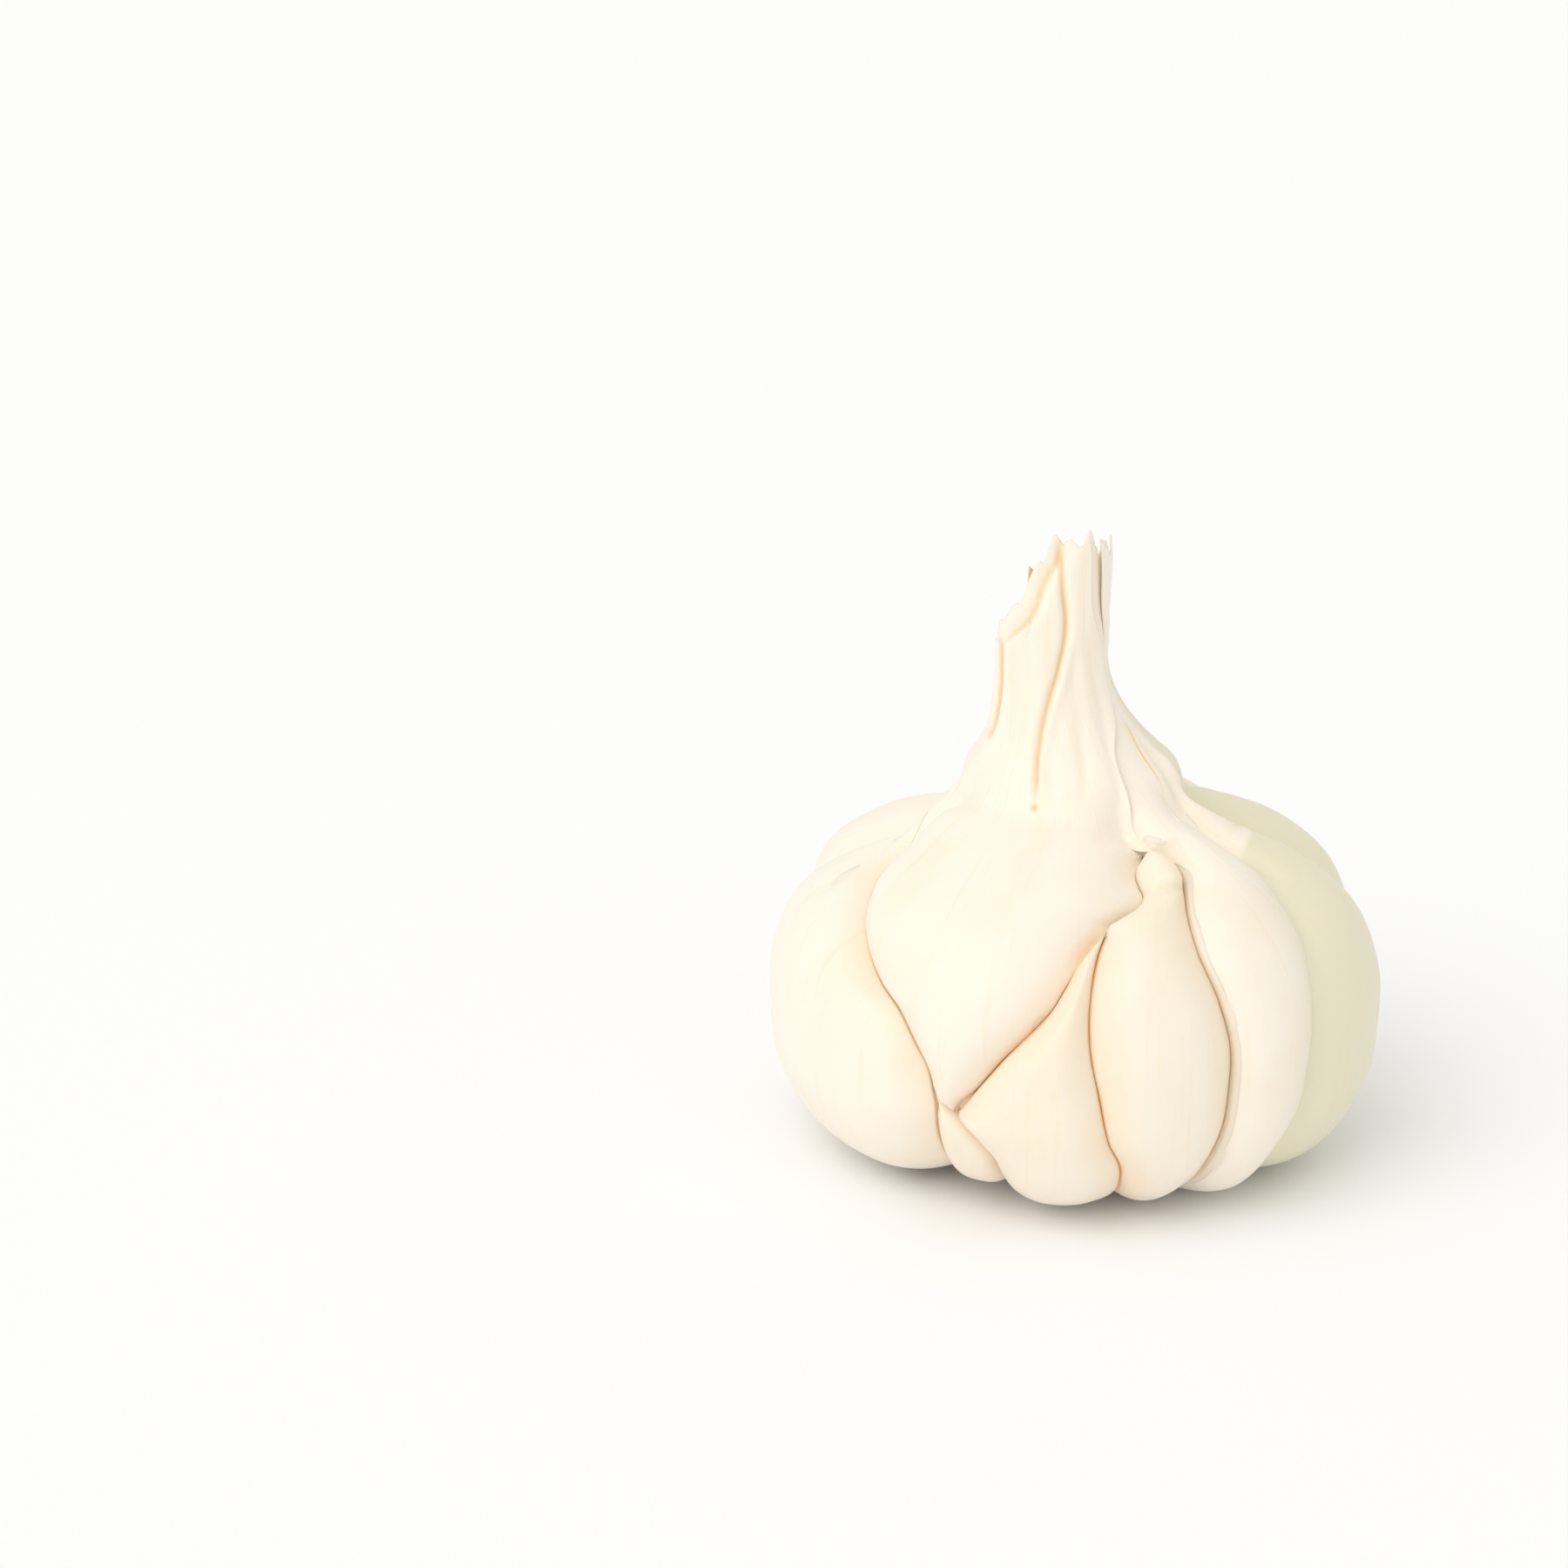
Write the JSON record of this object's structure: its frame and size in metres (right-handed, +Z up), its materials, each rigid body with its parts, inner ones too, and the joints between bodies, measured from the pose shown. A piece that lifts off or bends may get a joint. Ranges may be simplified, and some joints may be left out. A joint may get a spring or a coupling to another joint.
{
  "type": "garlic bulb",
  "caption": "Whole dried garlic bulb standing on its root plate: plump cloves round a short stalk of papery leaf sheaths, with part of the papery wrapper torn away in front.",
  "frame": {"origin": "middle of the root plate's flat underside, on the surface that the bulb stands on", "axes": "+Z up along the bulb's axis towards the neck; -Y is the front, where the wrapper is torn and the cloves show; +X is the viewer's right from the front"},
  "size_m": [0.0621, 0.0617, 0.0625],
  "materials": {
    "clove_skin": "smooth papery clove skin with a soft sheen, cream white, browner along the seams",
    "papery_leaf": "dry papery leaf, slightly veined and translucent, cream white with a greenish tint in thin places",
    "dry_sheath": "dry fibrous leaf sheath, straw coloured",
    "root_cork": "rough corky root plate, light brown"
  },
  "bodies": {
    "root": {"root_plate": "root_cork", "main_clove": "clove_skin", "front_clove": "clove_skin", "nub_clove": "clove_skin", "sliver_clove": "clove_skin", "left_clove": "clove_skin", "right_clove": "clove_skin", "flank_clove": "clove_skin", "rear1_clove": "clove_skin", "rear2_clove": "clove_skin", "rear3_clove": "clove_skin", "rear4_clove": "clove_skin", "front_leaf": "papery_leaf", "left_leaf": "papery_leaf", "inner_leaf": "papery_leaf", "right_leaf": "papery_leaf", "back_leaf": "papery_leaf", "neck_core": "dry_sheath"}
  },
  "joints": []
}
